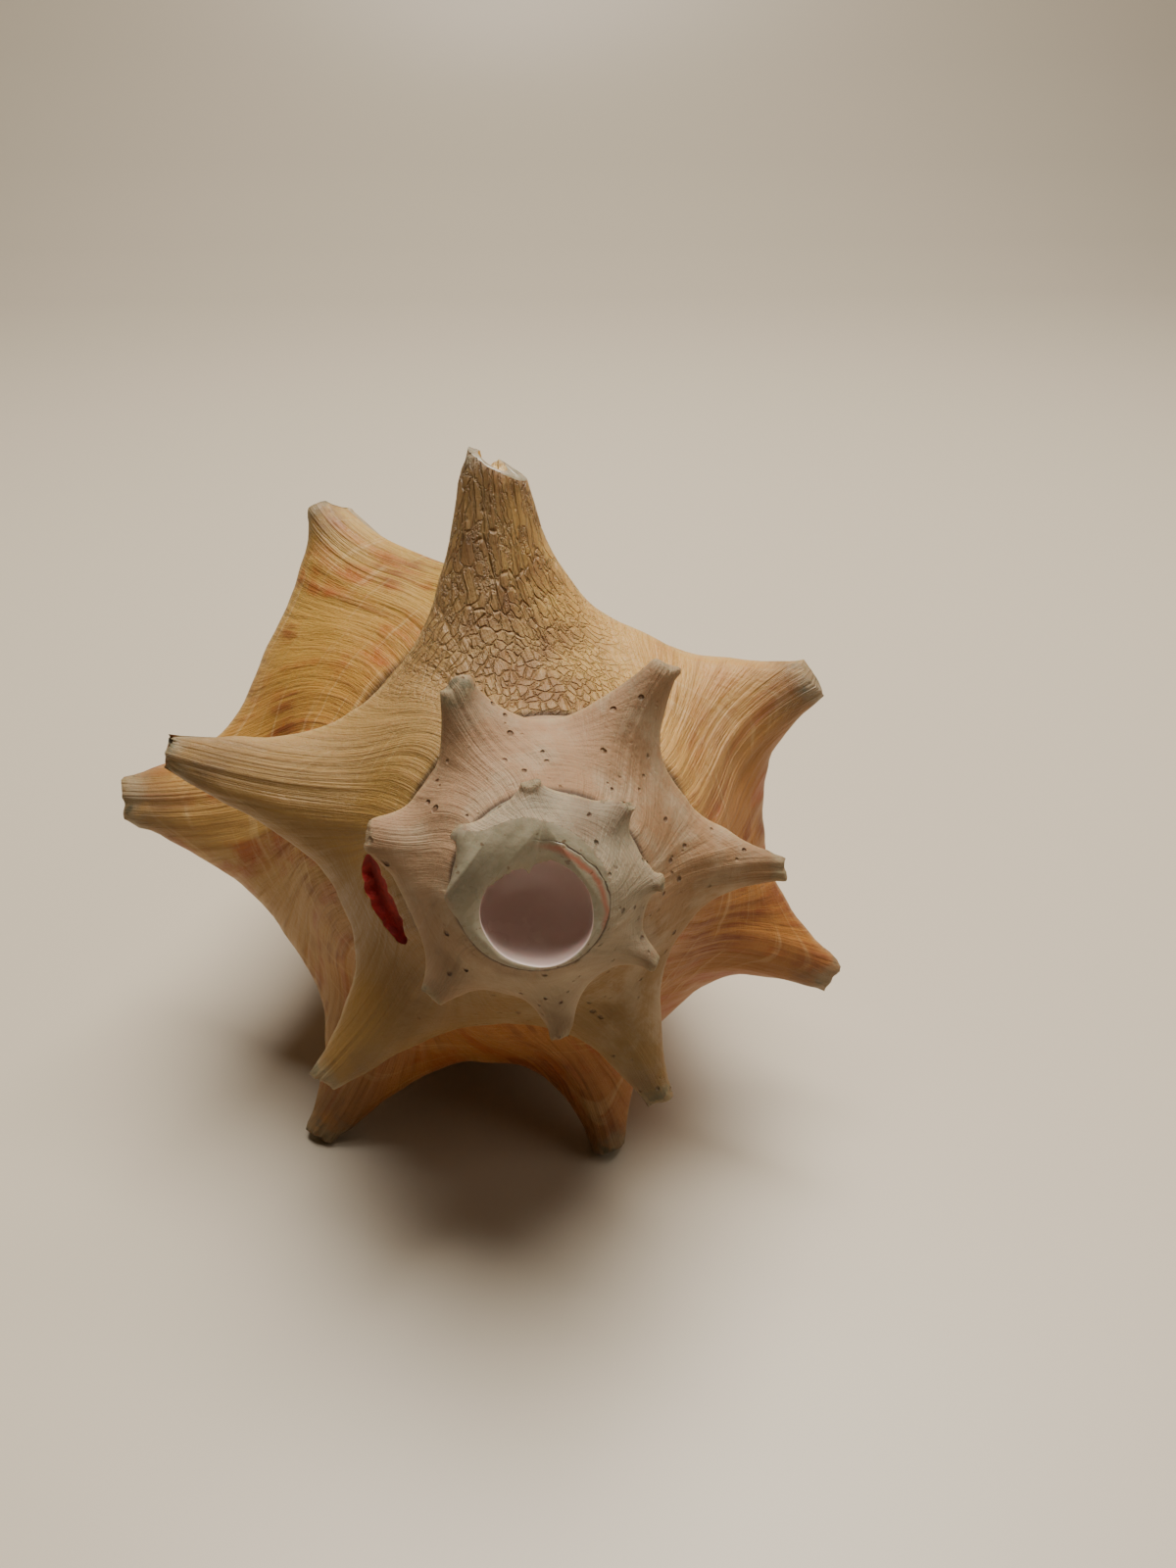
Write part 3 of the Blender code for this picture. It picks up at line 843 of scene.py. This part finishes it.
@dataclass(frozen=True)
class FloorPaint:
    """The pale floor."""

    colour: str = "CBC0AE"

    def material(self) -> bpy.types.Material:
        """Makes the material."""
        b = Bench("floor paint")
        return b.finish(rgb(self.colour), 0.4)


@dataclass
class Studio:
    """A pale floor, soft light from above and the camera."""

    camera_place: tuple[float, float, float] = (0.00632, -0.20906, 0.18599)
    azimuth: float = 5.214
    elevation: float = 34.098
    roll: float = 0.431
    lens: float = 25.875
    sweep_start: float = 0.75
    sweep_radius: float = 0.35

    def camera(self) -> None:
        """Makes the camera."""
        data = bpy.data.cameras.new("camera")
        data.sensor_width = 36.0
        data.lens = self.lens
        data.clip_start = 0.005
        made = bpy.data.objects.new("camera", data)
        bpy.context.scene.collection.objects.link(made)
        turned = Matrix.Rotation(math.radians(-self.azimuth), 4, "Z")
        pitched = Matrix.Rotation(math.radians(90.0 - self.elevation), 4, "X")
        rolled = Matrix.Rotation(math.radians(self.roll), 4, "Z")
        made.matrix_world = Matrix.Translation(self.camera_place) @ turned @ pitched @ rolled
        bpy.context.scene.camera = made

    def lamp(self, name: str, place: tuple[float, float, float], size: float, power: float, colour: Rgb) -> None:
        """A square soft light that faces the shell."""
        data = bpy.data.lights.new(name, "AREA")
        data.shape = "SQUARE"
        data.size = size
        data.energy = power
        data.color = colour
        made = bpy.data.objects.new(name, data)
        made.location = place
        made.rotation_euler = (-Vector(place)).to_track_quat("-Z", "Y").to_euler()
        bpy.context.scene.collection.objects.link(made)

    def build(self) -> None:
        """Makes the floor, the lights and the camera."""
        bm = bmesh.new()
        steps = 40
        for vert in bmesh.ops.create_grid(bm, x_segments=1, y_segments=steps, size=3.0)["verts"]:
            along = 4.5 * round((vert.co.y + 3.0) / 6.0 * steps) / steps - 2.5
            bend = min(max(along - self.sweep_start, 0.0), self.sweep_radius * math.pi / 2.0)
            angle = bend / self.sweep_radius
            rest = max(along - self.sweep_start - bend, 0.0)
            vert.co.y = min(along, self.sweep_start) + self.sweep_radius * math.sin(angle)
            vert.co.z = self.sweep_radius * (1.0 - math.cos(angle)) + rest
        mesh = bpy.data.meshes.new("floor")
        bm.to_mesh(mesh)
        bm.free()
        floor = bpy.data.objects.new("floor", mesh)
        bpy.context.scene.collection.objects.link(floor)
        floor.data.materials.append(FloorPaint().material())
        for face in mesh.polygons:
            face.use_smooth = True
        self.lamp("overhead", (0.12, 0.20, 1.05), 0.7, 22.5, (1.0, 0.94, 0.85))
        self.lamp("side", (0.95, -0.25, 0.75), 0.7, 1.6, (1.0, 0.92, 0.80))
        world = bpy.data.worlds.new("room")
        world.use_nodes = True
        world.node_tree.nodes["Background"].inputs["Color"].default_value = (*rgb("D8C4A0"), 1.0)
        world.node_tree.nodes["Background"].inputs["Strength"].default_value = 0.05
        bpy.context.scene.world = world
        self.camera()


def main() -> None:
    """Builds the studio and the shell."""
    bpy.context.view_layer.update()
    Studio().build()
    finishes = [Weathered().material(), SawnRing().material(), Lining().material(),
                # painted shade: the slit's pink inside is coloured deep red, as it looks in shade with light bounced
                # about inside
                BrokenEdge("slit painted shade red", "8E1210", "B01C14").material(),
                BrokenEdge("spine hollow", "A07428", "E6D2A0").material()]
    shell = ConchShell().build(finishes)
    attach(shell, "root")
    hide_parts("conch_shell")


if __name__ == "__main__":
    main()
